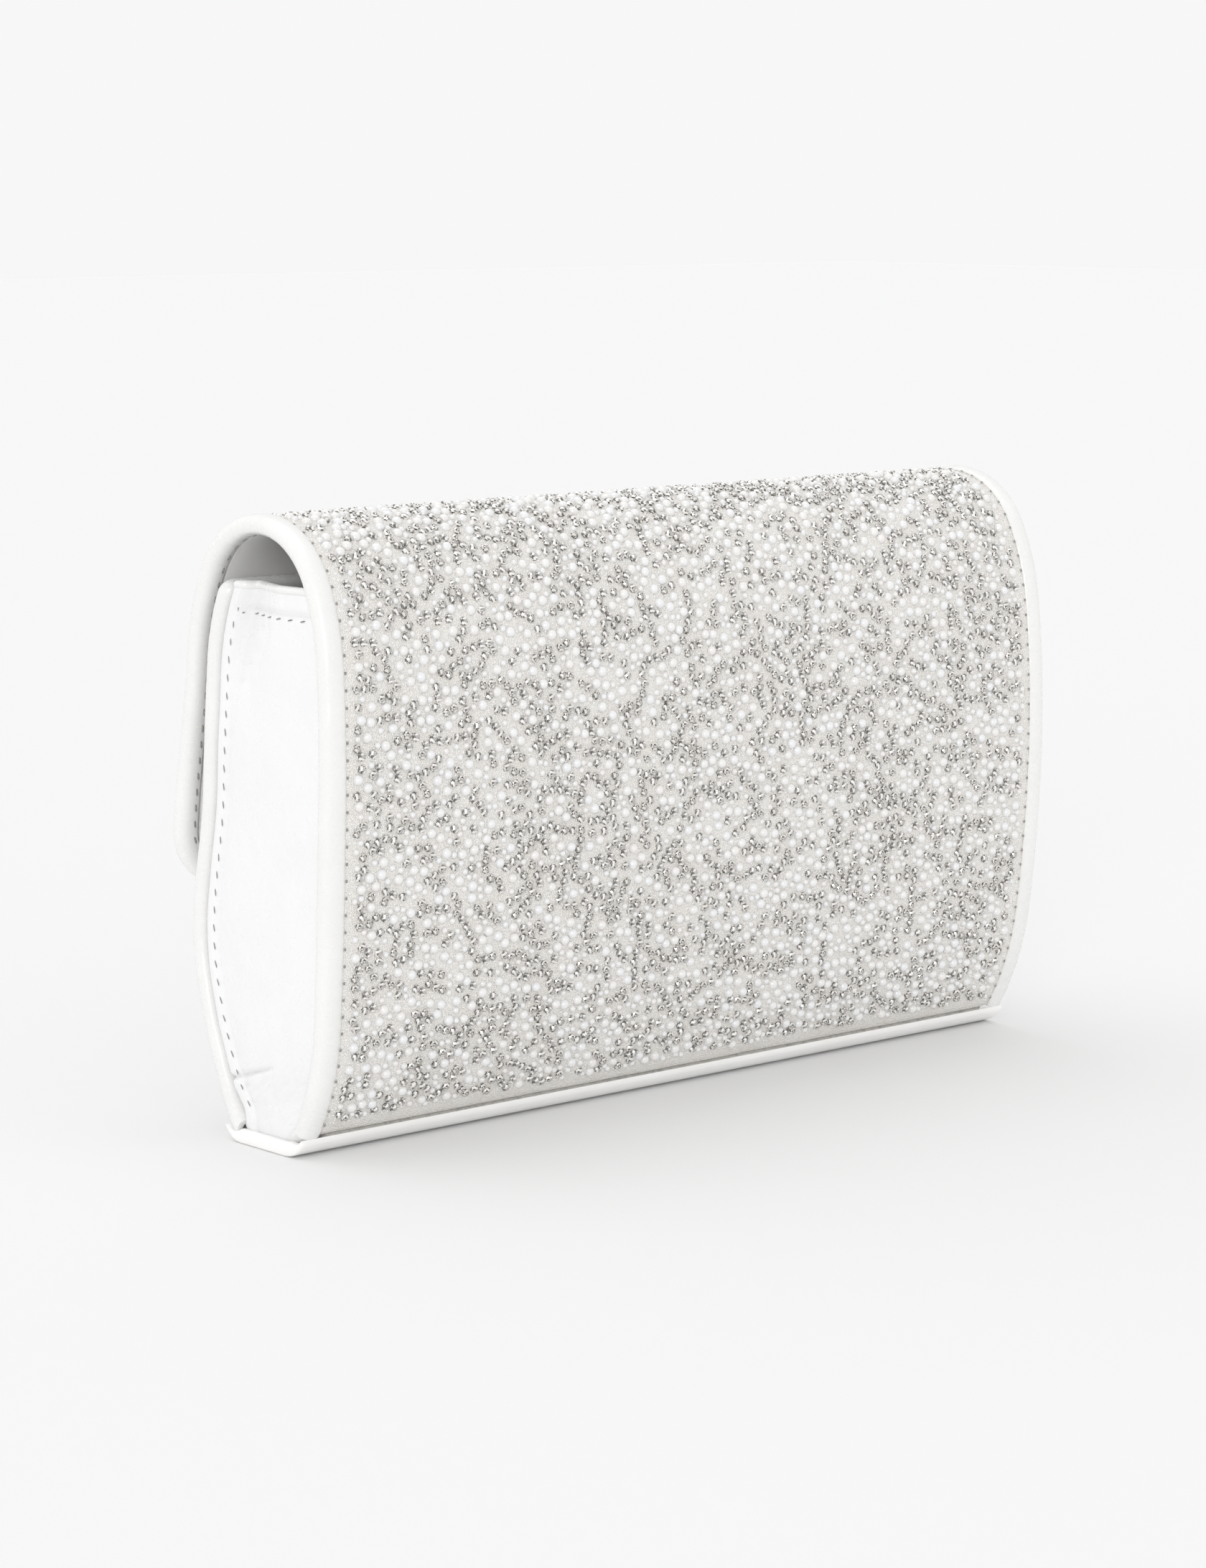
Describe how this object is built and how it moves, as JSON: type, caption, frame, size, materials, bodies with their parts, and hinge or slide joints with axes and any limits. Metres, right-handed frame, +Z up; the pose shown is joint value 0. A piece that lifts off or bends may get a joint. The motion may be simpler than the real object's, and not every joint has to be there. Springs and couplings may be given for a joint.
{
  "type": "evening bag",
  "caption": "Stiffened evening clutch: a beaded wall runs up the back, over the top and down as a front flap; folded end gussets, base strip, magnetic snap and strap rings.",
  "frame": {"origin": "middle of the bag's length and depth, on the surface it stands on", "axes": "+X along the bag, -Y towards the flap side, +Y towards the beaded back, +Z up"},
  "size_m": [0.223, 0.0572, 0.1407],
  "materials": {
    "beaded": "warm white ground packed with microbeads, silver rhinestones and half pearls",
    "leather": "glossy white patent leather, softly creased",
    "board": "grey bookbinder's board",
    "padding": "soft padding sheet",
    "satin": "silver grey satin lining",
    "silver": "polished nickel plate",
    "magnet": "sintered magnet"
  },
  "bodies": {
    "bag_body": {"back_cover": "beaded", "back_board": "board", "back_binding_left": "leather", "back_binding_right": "leather", "front_cover": "leather", "front_board": "board", "base_board": "board", "base_strip": "leather", "body_lining": "satin", "gusset_left": "leather", "gusset_right": "leather", "gusset_lining_left": "satin", "gusset_lining_right": "satin", "slip_pocket": "satin", "pocket_trim": "leather", "snap_case": "silver", "snap_magnet": "magnet", "snap_plate": "silver", "snap_plate_washer": "silver", "ring_tab_left": "leather", "ring_tab_right": "leather"},
    "top": {"top_cover": "beaded", "top_padding": "padding", "top_lining": "leather", "top_binding_left": "leather", "top_binding_right": "leather"},
    "flap": {"flap_cover": "beaded", "flap_board": "board", "flap_lining": "leather", "flap_binding": "leather", "snap_stud": "silver", "snap_stud_washer": "silver"},
    "ring_left": {"strap_ring_left": "silver"},
    "ring_right": {"strap_ring_right": "silver"}
  },
  "joints": [
    {"name": "top_fold", "type": "hinge", "parent": "bag_body", "child": "top", "pos_m": [0, 0.0209, 0.12861], "axis": [-1, 0, 0], "range_deg": [0, 110]},
    {"name": "flap_fold", "type": "hinge", "parent": "top", "child": "flap", "pos_m": [0, -0.01925, 0.12861], "axis": [-1, 0, 0], "range_deg": [0, 88]},
    {"name": "ring_left_swing", "type": "hinge", "parent": "bag_body", "child": "ring_left", "pos_m": [-0.1008, 0.00237, 0.11261], "axis": [0, -1, 0], "range_deg": [0, 150]},
    {"name": "ring_right_swing", "type": "hinge", "parent": "bag_body", "child": "ring_right", "pos_m": [0.1008, 0.00237, 0.11261], "axis": [0, 1, 0], "range_deg": [0, 150]}
  ],
  "couplings": [
    {"joint": "flap_fold", "follows": "top_fold", "ratio": 0.8}
  ]
}
